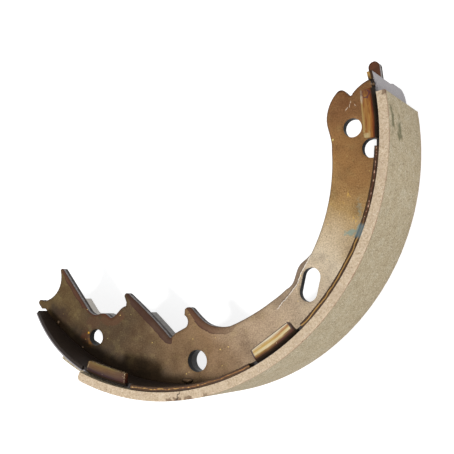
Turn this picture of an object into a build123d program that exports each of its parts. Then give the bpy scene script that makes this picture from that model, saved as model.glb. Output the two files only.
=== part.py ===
from build123d import *
from math import cos, degrees, radians, sin
import os

# A drum brake shoe lying on one edge, in millimetres, with +Z up along the drum's axis.
# The origin is on the drum's axis, at the middle of the web's thickness.
# +X points to the lining's square end.
# Angles are in degrees around the drum's axis from +X. The shoe runs clockwise, through negative angles.

# drum, lining, rim and web, from the outside inwards
drum_radius = 127.0
lining_thickness = 4.7
rim_thickness = 2.5
lining_width = 52.0
rim_width = 50.0
web_thickness = 4.4
doubler_thickness = 5.4

# where the lining starts and ends, with the narrow tongue past its rounded end
lining_start_angle = -0.6
lining_end_angle = -121.0
tongue_end_angle = -131.3
tongue_width = 26.6
tongue_corner = 2.0
lining_end_round = 2.5

# where the rim starts and ends, and its tapered tail
rim_start_angle = 4.4
rim_end_angle = -146.5
tail_start_angle = -121.3
tail_start_width = 47.0
tail_end_width = 18.6
tail_bulge = 1.3

# the rim's first end stands out a little on the far side and is rounded at its far corner
rim_step = 1.3
rim_step_top = -3.0
rim_step_bottom = -8.0
rim_corner_radius = 4.5

# tabs bent in from the rim's near edge: first and last angle of each
tab_angles = [(0.8, -10.4), (-58.0, -70.1), (-107.4, -119.6)]
tab_reach = 8.1
tab_bend_radius = 2.0
tab_corner = 0.8
relief_width = 4.0
relief_depth = 3.0

# round holes in the web: angle, distance in from the rim's inner face, and radius
guide_hole_angle = -4.7
guide_hole_depth = 18.7
guide_hole_radius = 4.75
lever_hole_angle = -10.7
lever_hole_depth = 9.4
lever_hole_radius = 4.85
pivot_hole_angle = -92.3
pivot_hole_depth = 11.5
pivot_hole_radius = 5.8
spring_hole_angle = -127.9
spring_hole_depth = 10.2
spring_hole_radius = 4.57

# obround slot in the web
slot_place_angle = -50.7
slot_depth = 16.4
slot_separation = 7.8
slot_width = 9.4
slot_tilt = 118.4

# reinforcing plate behind the web: gap to the rim, wall around the pivot hole, room around the spring hole
doubler_gap = 2.8
pivot_wall = 6.5
spring_hole_room = 3.9

# sizes that follow from the ones above
rim_outer_radius = drum_radius - lining_thickness
rim_inner_radius = rim_outer_radius - rim_thickness
tab_outer_bend = tab_bend_radius + rim_thickness
bend_height = rim_width / 2 - tab_outer_bend
relief_angle = degrees(relief_width / rim_outer_radius)
tab_edge_distance = rim_outer_radius - tab_reach
doubler_radius = rim_inner_radius - doubler_gap


def at(angle, depth):
    """Point in the web's plane: an angle, and a distance in from the rim's inner face."""
    radius = rim_inner_radius - depth
    return (radius * cos(radians(angle)), radius * sin(radians(angle)))


def radial_plane(angle):
    """Plane through the drum's axis: local x runs outwards, local y up."""
    a = radians(angle)
    return Plane(origin=(0, 0, 0), x_dir=(cos(a), sin(a), 0), z_dir=(sin(a), -cos(a), 0))


def facing_plane(angle):
    """Plane across the rim at one angle: local x runs around the rim, local y up, and it faces outwards."""
    a = radians(angle)
    centre = (rim_outer_radius * cos(a), rim_outer_radius * sin(a), 0)
    return Plane(origin=centre, x_dir=(-sin(a), cos(a), 0), z_dir=(cos(a), sin(a), 0))


def along(angle, base):
    """Distance of an angle from a base angle, on the facing plane of the base."""
    return rim_outer_radius * sin(radians(angle - base))


guide_hole_centre = at(guide_hole_angle, guide_hole_depth)
lever_hole_centre = at(lever_hole_angle, lever_hole_depth)
pivot_hole_centre = at(pivot_hole_angle, pivot_hole_depth)
spring_hole_centre = at(spring_hole_angle, spring_hole_depth)
slot_centre = at(slot_place_angle, slot_depth)

# Web: the outline goes once around, along the rim first and back along the inner edge.
with BuildLine() as web_edge:
    seat = CenterArc((0, 0), rim_inner_radius, rim_end_angle - 0.7, rim_start_angle - rim_end_angle + 1.8)
    # tongue past the rim's first end
    Line(seat @ 1, at(8.4, -1.0))
    ThreePointArc(at(8.4, -1.0), at(10.2, 0.6), at(8.9, 4.6))
    Line(at(8.9, 4.6), at(6.6, 5.8))
    # shoe end: sloping edge, small notch and rounded lobe
    ThreePointArc(at(6.6, 5.8), at(6.1, 10.7), at(4.7, 15.8))
    ThreePointArc(at(4.7, 15.8), at(4.3, 16.9), at(4.7, 17.9))
    Line(at(4.7, 17.9), at(6.2, 19.3))
    ThreePointArc(at(6.2, 19.3), at(6.9, 21.2), at(6.5, 23.8))
    Spline(at(6.5, 23.8), at(4.7, 27.5), at(1.9, 30.4), at(-1.3, 31.7), at(-5.2, 31.0), at(-10.6, 30.0))
    # inner edge, down to the shoulder beside the slot
    ThreePointArc(at(-10.6, 30.0), at(-27.2, 27.7), at(-43.4, 25.2))
    shoulder = [at(-43.4, 25.2), at(-45.7, 26.2), at(-48.2, 27.2), at(-50.7, 26.4), at(-53.0, 24.7)]
    Spline(*shoulder, at(-56.7, 24.3))
    ThreePointArc(at(-56.7, 24.3), at(-67.9, 24.8), at(-79.1, 24.8))
    # rounded bay and the hooked third horn
    Spline(at(-79.1, 24.8), at(-82.9, 26.3), at(-86.9, 29.5), at(-89.9, 34.3), at(-92.4, 39.1))
    ThreePointArc(at(-92.4, 39.1), at(-94.0, 40.0), at(-95.5, 39.0))
    Line(at(-95.5, 39.0), at(-95.8, 36.0))
    ThreePointArc(at(-95.8, 36.0), at(-94.5, 32.6), at(-95.5, 29.5))
    Line(at(-95.5, 29.5), at(-99.4, 26.7))
    Line(at(-99.4, 26.7), at(-100.6, 24.9))
    ThreePointArc(at(-100.6, 24.9), at(-101.3, 24.1), at(-102.2, 24.9))
    # second horn
    ThreePointArc(at(-102.2, 24.9), at(-110.5, 34.3), at(-122.4, 41.3))
    ThreePointArc(at(-122.4, 41.3), at(-123.6, 41.1), at(-123.9, 39.0))
    Line(at(-123.9, 39.0), at(-122.1, 36.5))
    Line(at(-122.1, 36.5), at(-121.8, 34.5))
    # floor of the notch, with a small dip
    notch_side = [at(-121.8, 34.5), at(-123.7, 30.7), at(-124.8, 26.3), at(-125.8, 24.4), at(-127.1, 24.4)]
    Spline(*notch_side, at(-128.7, 24.5))
    Spline(at(-128.7, 24.5), at(-130.0, 23.4), at(-131.5, 20.8), at(-133.1, 19.8), at(-134.8, 19.8))
    # first horn, with the hollow that bears on the anchor and the prong at the rim's tail
    Line(at(-134.8, 19.8), at(-152.5, 23.9))
    ThreePointArc(at(-152.5, 23.9), at(-153.0, 22.8), at(-152.5, 21.6))
    ThreePointArc(at(-152.5, 21.6), at(-148.3, 13.0), at(-149.3, 1.9))
    Line(at(-149.3, 1.9), at(-150.3, 0.5))
    ThreePointArc(at(-150.3, 0.5), at(-150.3, -1.0), at(-149.6, -1.9))
    Line(at(-149.6, -1.9), at(-148.1, -2.0))
    Line(at(-148.1, -2.0), seat @ 0)

with BuildPart() as web:
    with BuildSketch(Plane.XY.offset(-web_thickness / 2)):
        make_face(web_edge.edges())
        with Locations(guide_hole_centre):
            Circle(guide_hole_radius, mode=Mode.SUBTRACT)
        with Locations(lever_hole_centre):
            Circle(lever_hole_radius, mode=Mode.SUBTRACT)
        with Locations(pivot_hole_centre):
            Circle(pivot_hole_radius, mode=Mode.SUBTRACT)
        with Locations(spring_hole_centre):
            Circle(spring_hole_radius, mode=Mode.SUBTRACT)
        with Locations(slot_centre):
            turn = slot_place_angle + slot_tilt
            SlotCenterToCenter(slot_separation, slot_width, rotation=turn, mode=Mode.SUBTRACT)
    extrude(amount=web_thickness)

# Doubler: the part of the web's outline inside a simple boundary, so the two share their visible edges.
with BuildPart() as web_doubler:
    with BuildSketch(Plane.XY.offset(-web_thickness / 2 - doubler_thickness)):
        with BuildLine():
            # straight end across the first horn, then well outside the outer edge
            Polyline(at(-139.1, 28.0), at(-142.2, -7.4), at(-126.0, -33.4), at(pivot_hole_angle, -12.0))
            Line(at(pivot_hole_angle, -12.0), at(pivot_hole_angle, pivot_hole_depth + pivot_wall))
            # over the corner between the second and third horns
            Line(at(pivot_hole_angle, pivot_hole_depth + pivot_wall), at(-100.3, 25.1))
            Polyline(at(-100.3, 25.1), at(-103.2, 32.5), at(-111.8, 35.7))
            # across the second horn's root and out into the notch
            Polyline(at(-111.8, 35.7), at(-124.8, 26.3), at(-128.7, 30.2), at(-139.1, 28.0))
        make_face()
        with Locations(pivot_hole_centre):
            Circle(pivot_hole_radius + pivot_wall)
        Circle(doubler_radius, mode=Mode.INTERSECT)
        make_face(web_edge.edges(), mode=Mode.INTERSECT)
        with Locations(pivot_hole_centre):
            Circle(pivot_hole_radius, mode=Mode.SUBTRACT)
        with Locations(spring_hole_centre):
            Circle(spring_hole_radius + spring_hole_room, mode=Mode.SUBTRACT)
    extrude(amount=doubler_thickness)

# Rim: a curved strip, cut to shape at both ends, with tabs bent in from its near edge.
with BuildPart() as rim:
    with BuildSketch(Plane.XY.offset(-rim_width / 2)):
        with BuildLine():
            outer = CenterArc((0, 0), rim_outer_radius, rim_end_angle, rim_start_angle - rim_end_angle + 2)
            inner = CenterArc((0, 0), rim_inner_radius, rim_end_angle, rim_start_angle - rim_end_angle + 2)
            Line(outer @ 0, inner @ 0)
            Line(outer @ 1, inner @ 1)
        make_face()
    extrude(amount=rim_width)

    # first end, stepped and rounded
    with BuildSketch(facing_plane(rim_start_angle)):
        corner = rim_step - rim_corner_radius
        low = -rim_width / 2
        with BuildLine():
            Polyline((corner, low), (corner, low - 1), (10, low - 1), (10, rim_width), (0, rim_width))
            Polyline((0, rim_width), (0, rim_step_top), (rim_step, rim_step_bottom))
            Line((rim_step, rim_step_bottom), (rim_step, low + rim_corner_radius))
            RadiusArc((rim_step, low + rim_corner_radius), (corner, low), rim_corner_radius)
        make_face()
    extrude(amount=rim_thickness * 2, both=True, mode=Mode.SUBTRACT)

    # tapered tail
    tail_middle = (tail_start_angle + rim_end_angle) / 2
    first = (along(tail_start_angle, tail_middle), tail_start_width / 2)
    last = (along(rim_end_angle, tail_middle), tail_end_width / 2)
    with BuildSketch(facing_plane(tail_middle)):
        with BuildLine():
            halfway = ((first[0] + last[0]) / 2, (first[1] + last[1]) / 2 + tail_bulge)
            ThreePointArc(first, halfway, last)
            Polyline(last, (2 * last[0], last[1]), (2 * last[0], rim_width), (first[0], rim_width), first)
        make_face()
        mirror(about=Plane.XZ)
    extrude(amount=rim_thickness * 3, both=True, mode=Mode.SUBTRACT)

    # tabs with a relief notch at each end
    for tab_first, tab_last in tab_angles:
        with BuildSketch(radial_plane(tab_last)):
            with Locations((rim_inner_radius - 1, bend_height)):
                Rectangle(rim_thickness + 2, rim_width, align=(Align.MIN, Align.MIN))
        revolve(axis=Axis.Z, revolution_arc=tab_first - tab_last, mode=Mode.SUBTRACT)
        for notch_last in (tab_first, tab_last - relief_angle):
            with BuildSketch(radial_plane(notch_last)):
                with Locations((rim_inner_radius - 1, rim_width / 2 - relief_depth)):
                    Rectangle(rim_thickness + 2, rim_width, align=(Align.MIN, Align.MIN))
            revolve(axis=Axis.Z, revolution_arc=relief_angle, mode=Mode.SUBTRACT)
        with BuildSketch(radial_plane(tab_last)):
            with BuildLine():
                bend_centre = (rim_inner_radius - tab_bend_radius, bend_height)
                inside = CenterArc(bend_centre, tab_bend_radius, 0, 90)
                outside = CenterArc(bend_centre, tab_outer_bend, 0, 90)
                Line(inside @ 0, outside @ 0)
                lower_edge = (tab_edge_distance, rim_width / 2 - rim_thickness)
                Polyline(inside @ 1, lower_edge, (tab_edge_distance, rim_width / 2), outside @ 1)
            make_face()
        revolve(axis=Axis.Z, revolution_arc=tab_first - tab_last)
        # the free edge is straight
        middle = radians((tab_first + tab_last) / 2)
        across = Plane(origin=(0, 0, bend_height), x_dir=(cos(middle), sin(middle), 0), z_dir=(0, 0, 1))
        with BuildSketch(across):
            with Locations((tab_edge_distance, 0)):
                Rectangle(rim_thickness, drum_radius / 2, align=(Align.MAX, Align.CENTER))
        extrude(amount=tab_outer_bend * 2, mode=Mode.SUBTRACT)
        # and its corners are rounded
        reach = tab_edge_distance / cos(radians(tab_first - tab_last) / 2)
        for angle in (radians(tab_first), radians(tab_last)):
            tip = (reach * cos(angle), reach * sin(angle), (rim_width - rim_thickness) / 2)
            fillet(rim.edges().filter_by(Axis.Z).sort_by_distance(tip)[0], tab_corner)

# Lining: a thick curved pad with one square end, and a narrow tongue past its other end.
with BuildPart() as lining:
    with BuildSketch(Plane.XY.offset(-lining_width / 2)):
        with BuildLine():
            reach = lining_start_angle - tongue_end_angle
            face = CenterArc((0, 0), drum_radius, tongue_end_angle, reach)
            back = CenterArc((0, 0), rim_outer_radius, tongue_end_angle, reach)
            Line(face @ 0, back @ 0)
            Line(face @ 1, back @ 1)
        make_face()
    extrude(amount=lining_width)
    with BuildSketch(facing_plane(lining_end_angle)):
        with Locations((0, tongue_width / 2)):
            Rectangle(lining_width, lining_width, align=(Align.MAX, Align.MIN))
        fillet(vertices().sort_by_distance((0, tongue_width / 2))[0], tongue_corner)
        mirror(about=Plane.XZ)
    extrude(amount=lining_thickness * 3, both=True, mode=Mode.SUBTRACT)
    a = radians(lining_end_angle)
    end_corner = (drum_radius * cos(a), drum_radius * sin(a), lining_width / 2)
    fillet(lining.edges().filter_by(Axis.Z).sort_by_distance(end_corner)[0], lining_end_round)

os.makedirs("parts", exist_ok=True)
web.part.label = "web"
web_doubler.part.label = "web_doubler"
rim.part.label = "rim"
lining.part.label = "lining"
export_step(web.part, "parts/web.step")
export_step(web_doubler.part, "parts/web_doubler.step")
export_step(rim.part, "parts/rim.step")
export_step(lining.part, "parts/lining.step")
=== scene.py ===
import bpy
import bmesh
import math
from mathutils import Matrix, Vector, noise
from mathutils.bvhtree import BVHTree
from mathutils.geometry import delaunay_2d_cdt
from mathutils.kdtree import KDTree


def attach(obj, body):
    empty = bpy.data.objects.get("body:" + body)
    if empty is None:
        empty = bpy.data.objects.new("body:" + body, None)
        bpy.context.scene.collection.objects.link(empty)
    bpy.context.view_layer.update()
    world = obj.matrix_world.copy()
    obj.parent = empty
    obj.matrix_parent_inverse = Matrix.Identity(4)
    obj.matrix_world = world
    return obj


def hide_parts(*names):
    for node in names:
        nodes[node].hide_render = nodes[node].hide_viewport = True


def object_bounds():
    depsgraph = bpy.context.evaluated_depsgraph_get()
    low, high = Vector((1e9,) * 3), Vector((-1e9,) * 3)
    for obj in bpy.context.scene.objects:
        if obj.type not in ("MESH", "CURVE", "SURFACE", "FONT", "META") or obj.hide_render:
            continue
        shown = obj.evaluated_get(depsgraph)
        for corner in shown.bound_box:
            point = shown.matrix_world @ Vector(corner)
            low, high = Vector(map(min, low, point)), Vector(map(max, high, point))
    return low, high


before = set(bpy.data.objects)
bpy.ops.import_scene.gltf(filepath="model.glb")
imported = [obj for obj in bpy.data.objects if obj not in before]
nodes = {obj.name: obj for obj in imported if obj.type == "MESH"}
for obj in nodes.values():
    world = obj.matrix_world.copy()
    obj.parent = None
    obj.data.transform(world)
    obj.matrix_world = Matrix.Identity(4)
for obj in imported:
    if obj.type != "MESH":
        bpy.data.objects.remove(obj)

# The row frame: origin on the drum's axis at the middle of the web, +Z up, in metres.
# Sizes below are in millimetres and angles in degrees around the drum's axis, until a point is placed.
# The floor, the camera and the lamps are in metres.
MM = 0.001
cad_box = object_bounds()


def angle_of(point):
    """Angle of a point around the drum's axis, running from 50 down to -310 degrees."""
    a = math.degrees(math.atan2(point[1], point[0]))
    return a if a < 50 else a - 360


def polar(angle, radius, z):
    """Point at an angle and a radius around the drum's axis."""
    a = math.radians(angle)
    return (radius * math.cos(a), radius * math.sin(a), z)


def step(value, low, high):
    """Smooth step from 0 at low to 1 at high."""
    t = min(1.0, max(0.0, (value - low) / (high - low)))
    return t * t * (3 - 2 * t)


def wobble(x, y=0.0, z=0.0):
    """Smooth noise between about -1 and 1."""
    return noise.noise(Vector((x, y, z)))


# Sizes read from the CAD nodes
lining_points = [(v.co.x / MM, v.co.y / MM, v.co.z / MM) for v in nodes["lining"].data.vertices]
drum_radius = max(math.hypot(x, y) for x, y, z in lining_points)
lining_depth = drum_radius - min(math.hypot(x, y) for x, y, z in lining_points)
lining_top = max(z for x, y, z in lining_points)
first_end = max(angle_of(p) for p in lining_points)
last_end = min(angle_of(p) for p in lining_points)
shoulder = min(angle_of(p) for p in lining_points if abs(p[2]) > lining_top - 1)
tongue = max(abs(p[2]) for p in lining_points if angle_of(p) < last_end + 1)
web_top = max(v.co.z for v in nodes["web"].data.vertices) / MM

# The pivot hole within the doubler, the weld spot beside it, and marks on the web's front face
PIVOT_BORE = (-4.35, -108.21, -6)
PIVOT_SPOT = polar(-95.6, 118.2, 2.1)
MARK_Z = 2
TAIL_STAIN = (-89, -71, MARK_Z)
NOTCH_FLOOR = (-54.5, -77.5, MARK_Z)
HORN_ROOT = (-68, -78, MARK_Z)
SPRING_HOLE_BROWN = (-74.5, -85, MARK_Z)
SPRING_HOLE_AMBER = (-71, -88.5, MARK_Z)
SPRING_HOLE_GOLD = (-72.0, -83.2, MARK_Z)
BLUE_FOOT = (91.0, -58.9, MARK_Z)
BLUE_UPPER = (97.4, -48.0, MARK_Z)
LOBE = (99.6, 6.2, MARK_Z)
SCUFF_UPPER = (92.6, -42, MARK_Z)
SCUFF_LOWER = (94.2, -54, MARK_Z)
LARGE_SPECK = (89.9, -11.8, MARK_Z)
NEXT_SPECK = (91.3, -14.4, MARK_Z)
SMALL_SPECKS = [(95.6, -21.5, MARK_Z), (-59.6, -88.3, MARK_Z), (-42.0, -77.6, MARK_Z), (98.3, -24.2, MARK_Z)]

# Scratches on the small lobe: a place, a direction in degrees and half the length
SCRATCHES = [
    ((101.6, 3.4, MARK_Z), 66, 1.7),
    ((99.4, 1.6, MARK_Z), 38, 0.9),
    ((104.2, 2.2, MARK_Z), 118, 0.7),
]

# Tabs of the rim: the angles of their middles, half a tab's width in degrees and a degree's length along it.
# A free edge is straight, at its distance from the drum's axis. The arc from the flat over the bend to the
# rim is measured by the radius less the height.
TABS = (-113.5, -64.05, -4.8)
TAB_HALF = 5.95
TAB_MM_PER_DEGREE = 2.05
TAB_FREE_EDGE = 113.9
TAB_ARC_START = 87.9
TAB_ARC = 9.0
TAB_RING = (117.2, -0.9, 25)
TAB_PURPLE = (-46, -108.5, 25)


# Shader helpers

class Tree:
    """A material's node tree with short calls for the nodes used here."""

    def __init__(self, name):
        self.mat = bpy.data.materials.new(name)
        self.mat.use_nodes = True
        self.t = self.mat.node_tree
        self.t.nodes.clear()
        out = self.t.nodes.new("ShaderNodeOutputMaterial")
        self.bsdf = self.t.nodes.new("ShaderNodeBsdfPrincipled")
        self.t.links.new(self.bsdf.outputs[0], out.inputs[0])
        coord = self.t.nodes.new("ShaderNodeTexCoord")
        self.where = self.vec("SCALE", coord.outputs["Object"], scale=1 / MM)
        self.x, self.y, self.z = self.split(self.where)
        self.radius = self.vec("LENGTH", self.join(self.x, self.y, 0.0))
        self.angle = self.times(self.math("ARCTAN2", self.y, self.x), math.degrees(1))

    def put(self, socket, value):
        """Links a socket to another, or gives it a value."""
        if isinstance(value, bpy.types.NodeSocket):
            self.t.links.new(value, socket)
        elif isinstance(value, (tuple, list)) and len(value) == 3 and socket.type == "RGBA":
            socket.default_value = (*value, 1)
        else:
            socket.default_value = value

    def math(self, op, a, b=0.0, c=0.0, clamp=False):
        n = self.t.nodes.new("ShaderNodeMath")
        n.operation = op
        n.use_clamp = clamp
        for s, v in zip(n.inputs, (a, b, c)):
            self.put(s, v)
        return n.outputs[0]

    def plus(self, a, b):
        return self.math("ADD", a, b)

    def minus(self, a, b):
        return self.math("SUBTRACT", a, b)

    def times(self, a, b):
        return self.math("MULTIPLY", a, b)

    def most(self, a, b):
        return self.math("MAXIMUM", a, b)

    def vec(self, op, a, b=(0, 0, 0), scale=1.0):
        n = self.t.nodes.new("ShaderNodeVectorMath")
        n.operation = op
        self.put(n.inputs[0], a)
        self.put(n.inputs[1], b)
        if op == "SCALE":
            self.put(n.inputs["Scale"], scale)
        return n.outputs["Value"] if op in ("LENGTH", "DOT_PRODUCT") else n.outputs["Vector"]

    def split(self, v):
        n = self.t.nodes.new("ShaderNodeSeparateXYZ")
        self.put(n.inputs[0], v)
        return n.outputs

    def join(self, x, y, z):
        n = self.t.nodes.new("ShaderNodeCombineXYZ")
        for s, v in zip(n.inputs, (x, y, z)):
            self.put(s, v)
        return n.outputs[0]

    def attribute(self, name):
        n = self.t.nodes.new("ShaderNodeAttribute")
        n.attribute_name = name
        return n.outputs["Fac"]

    def noise(self, size, detail, rough=0.5, at=None):
        """Noise with features of about one size, in millimetres."""
        n = self.t.nodes.new("ShaderNodeTexNoise")
        self.put(n.inputs["Vector"], self.where if at is None else at)
        n.inputs["Scale"].default_value = 1 / size
        n.inputs["Detail"].default_value = detail
        n.inputs["Roughness"].default_value = rough
        return n.outputs["Fac"]

    def uneven(self, size, detail, reach, rough=0.5):
        """Noise between minus and plus a reach."""
        return self.ramp(self.noise(size, detail, rough), 0.3, 0.7, -reach, reach)

    def cells(self, size, out):
        """Voronoi cells of about one size: the distance to a cell's point, or its random colour."""
        n = self.t.nodes.new("ShaderNodeTexVoronoi")
        self.put(n.inputs["Vector"], self.where)
        n.inputs["Scale"].default_value = 1 / size
        return n.outputs[out]

    def specks(self, size, share, radius):
        """Mask of small round specks, in a share of the cells of one size."""
        pick = self.split(self.cells(size, "Color"))[0]
        chosen = self.math("LESS_THAN", pick, share)
        return self.times(chosen, self.ramp(self.cells(size, "Distance"), radius, radius * 0.5))

    def ramp(self, value, low, high, out_low=0.0, out_high=1.0):
        """Smooth step of a value from low to high."""
        n = self.t.nodes.new("ShaderNodeMapRange")
        n.interpolation_type = "SMOOTHSTEP"
        self.put(n.inputs["Value"], value)
        self.put(n.inputs["From Min"], low)
        self.put(n.inputs["From Max"], high)
        self.put(n.inputs["To Min"], out_low)
        self.put(n.inputs["To Max"], out_high)
        return n.outputs["Result"]

    def band(self, value, low, high, soft):
        """Mask that is 1 between two values, with soft ends."""
        rise = self.ramp(value, low - soft, low + soft)
        fall = self.ramp(value, high + soft, high - soft)
        return self.times(rise, fall)

    def spot(self, place, radius, soft, stretch=(1, 1, 1), rough=0.0):
        """Mask of a stain around a place, with an uneven border."""
        away = self.vec("MULTIPLY", self.vec("SUBTRACT", self.where, place), stretch)
        d = self.vec("LENGTH", away)
        if rough:
            d = self.plus(d, self.ramp(self.noise(2, 3), 0.25, 0.75, -rough, rough))
        return self.ramp(d, radius + soft, radius - soft)

    def colours(self, value, stops):
        """Colour ramp over a value: stops are positions with sRGB colours."""
        n = self.t.nodes.new("ShaderNodeValToRGB")
        self.put(n.inputs[0], value)
        elements = n.color_ramp.elements
        elements[1].position = stops[-1][0]
        for position, _ in stops[1:-1]:
            elements.new(position)
        elements[0].position = stops[0][0]
        for element, (_, colour) in zip(elements, stops):
            element.color = (*srgb(*colour), 1)
        return n.outputs["Color"]

    def mix(self, share, a, b):
        n = self.t.nodes.new("ShaderNodeMix")
        n.data_type = "RGBA"
        n.clamp_factor = True
        self.put(n.inputs[0], share)
        self.put(n.inputs[6], a)
        self.put(n.inputs[7], b)
        return n.outputs[2]

    def paint(self, under, share, colour):
        """An sRGB colour over another one, in a share of it."""
        return self.mix(share, under, srgb(*colour))

    def bump(self, height, depth, normal=None):
        """Bump of a depth in millimetres."""
        n = self.t.nodes.new("ShaderNodeBump")
        n.inputs["Strength"].default_value = 1.0
        n.inputs["Distance"].default_value = depth * MM
        self.put(n.inputs["Height"], height)
        if normal is not None:
            self.put(n.inputs["Normal"], normal)
        return n.outputs["Normal"]

    def soft_edges(self, radius):
        """Normal with the edges rounded by a radius in millimetres."""
        n = self.t.nodes.new("ShaderNodeBevel")
        n.samples = 6
        n.inputs["Radius"].default_value = radius * MM
        return n.outputs["Normal"]

    def set(self, **values):
        for name, v in values.items():
            self.put(self.bsdf.inputs[name.replace("_", " ")], v)


def srgb(r, g, b):
    """Linear colour of an sRGB one given in 0 to 255."""
    def lin(v):
        v /= 255
        return v / 12.92 if v <= 0.04045 else ((v + 0.055) / 1.055) ** 2.4
    return (lin(r), lin(g), lin(b))


# Web's material

def web_film(m, cloud, grain):
    """Brown-gold film, olive towards the anchor end, with clouds and grain, and a painted sheen where it is
    palest beside the slot.
    """
    along = m.plus(m.math("DIVIDE", m.angle, -150.0), m.uneven(30, 3, 0.03))
    # The palest stops, around 0.3 beside the slot, are a painted sheen
    film = m.colours(along, [
        (0.00, (136, 94, 56)), (0.10, (160, 117, 68)), (0.20, (180, 146, 94)), (0.30, (218, 200, 172)),
        (0.40, (184, 161, 134)), (0.50, (164, 138, 110)), (0.60, (136, 106, 74)), (0.70, (108, 84, 56)),
        (0.80, (76, 58, 36)), (0.90, (74, 56, 34)), (1.00, (98, 78, 44))])
    film = m.paint(film, m.ramp(cloud, 0.48, 0.72, 0, 0.2475), (66, 32, 16))
    olive = m.noise(6, 3, 0.6, at=m.vec("ADD", m.where, (50, 9, 3)))
    film = m.paint(film, m.ramp(olive, 0.5, 0.72, 0, 0.14), (170, 150, 96))
    film = m.paint(film, m.ramp(grain, 0.45, 0.66, 0, 0.36), (46, 32, 22))
    # Painted sheen: pale grain beside the slot
    pale = m.math("MULTIPLY_ADD", m.band(m.angle, -78, -22, 8), 0.18, 0.05)
    return m.paint(film, m.times(m.ramp(grain, 0.46, 0.3), pale), (244, 224, 184))


def sheared_edge(m, film):
    """Red-brown band along the sheared inner edge, darkest on the second horn, with a dark line and painted
    shade along the rolled outline.
    """
    width = m.attribute("band")
    edge = m.attribute("edge")
    inner = m.minus(m.plus(edge, m.uneven(4, 3, 0.3)), width)
    shoe_side = m.ramp(m.angle, -92, -76, 0.85, 0.22)
    second_horn = m.times(m.band(m.x, -45, -18, 2), 0.75)
    red_brown = m.mix(second_horn, srgb(80, 48, 34), srgb(54, 32, 25))
    film = m.mix(m.times(m.ramp(inner, 0.2, -0.2), shoe_side), film, red_brown)
    line = m.times(m.band(inner, -0.35, 0.15, 0.25), m.ramp(width, 0.8, 2))
    film = m.paint(film, m.times(line, shoe_side), (58, 32, 22))
    # Painted shade along the rolled outline
    return m.paint(film, m.ramp(edge, 0.9, 0.2, 0, 0.45), (62, 42, 32))


def folded_lip(m, film):
    """Folded lip beside the slot: a painted highlight along its crest, painted shade just behind it and a
    duller fold.
    """
    lip = m.attribute("lip")
    fold = m.attribute("fold")
    dull = m.ramp(lip, 0.0, 0.4, 0, m.ramp(m.angle, -57, -53, 0.2, 0.6))
    film = m.paint(film, m.times(dull, fold), (96, 68, 54))
    # Painted shade just behind the crest
    behind = m.times(m.band(lip, 0.25, 0.55, 0.2), m.times(fold, 0.8))
    film = m.paint(film, behind, (58, 38, 30))
    # Painted highlight along the crest
    glint = m.times(m.ramp(m.noise(1.2, 2), 0.36, 0.5, 0.25, 0.95), m.ramp(fold, 0, 0.4))
    return m.paint(film, m.times(m.band(lip, -0.4, -0.05, 0.15), glint), (246, 238, 228))


def joint_darkening(m, film):
    """Darker where the web meets the rim, stronger at the anchor end but not on its last lobe."""
    joint = m.ramp(m.plus(m.radius, m.uneven(7, 3, 3)), 106, 120)
    anchor_end = m.times(m.ramp(m.angle, -85, -115), m.ramp(m.x, -98.5, -95))
    return m.paint(film, m.times(joint, m.math("MULTIPLY_ADD", anchor_end, 0.7, 0.1)), (30, 21, 14))


def heat_stains(m, film):
    """Heat stains at the tail, below the first notch and around the spring hole."""
    stains = [
        (m.spot(TAIL_STAIN, 5, 5, rough=2.5), 0.6, (52, 32, 20)),
        (m.spot(NOTCH_FLOOR, 4.2, 0.5, stretch=(0.52, 1, 1), rough=0.5), 0.35, (96, 56, 34)),
        (m.spot(HORN_ROOT, 3.4, 0.6, stretch=(0.7, 1, 1), rough=0.6), 0.2, (96, 52, 34)),
        (m.spot(SPRING_HOLE_BROWN, 2.2, 2.5, rough=1.5), 0.7, (86, 46, 18)),
        (m.spot(SPRING_HOLE_AMBER, 1.5, 2.5, rough=1), 0.6, (158, 104, 38)),
        (m.spot(SPRING_HOLE_GOLD, 0.5, 0.4), 1.0, (226, 168, 40))]
    for mask, strength, colour in stains:
        film = m.paint(film, m.times(mask, strength), colour)
    return film


def blue_stains(m, film):
    """Blue-grey stains beside the rim, paler inwards."""
    stain = m.band(m.plus(m.radius, m.uneven(2.5, 3, 0.8)), 110.5, 121, 0.5)
    stain = m.times(stain, m.band(m.plus(m.angle, m.uneven(3, 2, 0.8)), -33.4, -30.2, 0.4))
    stain = m.most(stain, m.spot(BLUE_FOOT, 0.9, 0.4, stretch=(0.26, 0.7, 1), rough=0.4))
    upper = m.spot(BLUE_UPPER, 0.5, 0.7, stretch=(0.7, 0.16, 1), rough=0.7)
    stain = m.most(stain, m.times(upper, 0.6))
    colour = m.mix(m.ramp(m.radius, 109, 113), srgb(138, 158, 146), srgb(100, 118, 124))
    return m.mix(m.times(stain, 0.8), film, colour)


def scratch(m, place, degrees, half):
    """Mask of a short scratch with a direction and half a length."""
    turn = math.radians(degrees)
    away = m.vec("SUBTRACT", m.where, place)
    along = m.vec("DOT_PRODUCT", away, (math.cos(turn), math.sin(turn), 0))
    aside = m.vec("DOT_PRODUCT", away, (-math.sin(turn), math.cos(turn), 0))
    aside = m.plus(aside, m.uneven(1.5, 2, 0.2))
    return m.times(m.band(aside, -0.15, 0.15, 0.12), m.band(along, -half, half, 0.4))


def reddened_end(m, film, cloud, grain):
    """Redder metal at the tip of the tongue and on the small lobe beside it, with a few scratches."""
    tip = m.mix(m.ramp(cloud, 0.4, 0.6), srgb(84, 46, 30), srgb(60, 34, 24))
    film = m.mix(m.ramp(m.angle, 5.6, 7.0, 0, 0.85), film, tip)
    film = m.paint(film, m.times(m.spot(LOBE, 3.4, 2.5, rough=1.5), 0.4), (98, 54, 28))
    broken = m.ramp(grain, 0.6, 0.45, 0.2, 1.0)
    for place, degrees, half in SCRATCHES:
        film = m.paint(film, m.times(scratch(m, place, degrees, half), broken), (248, 226, 200))
    return film


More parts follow.
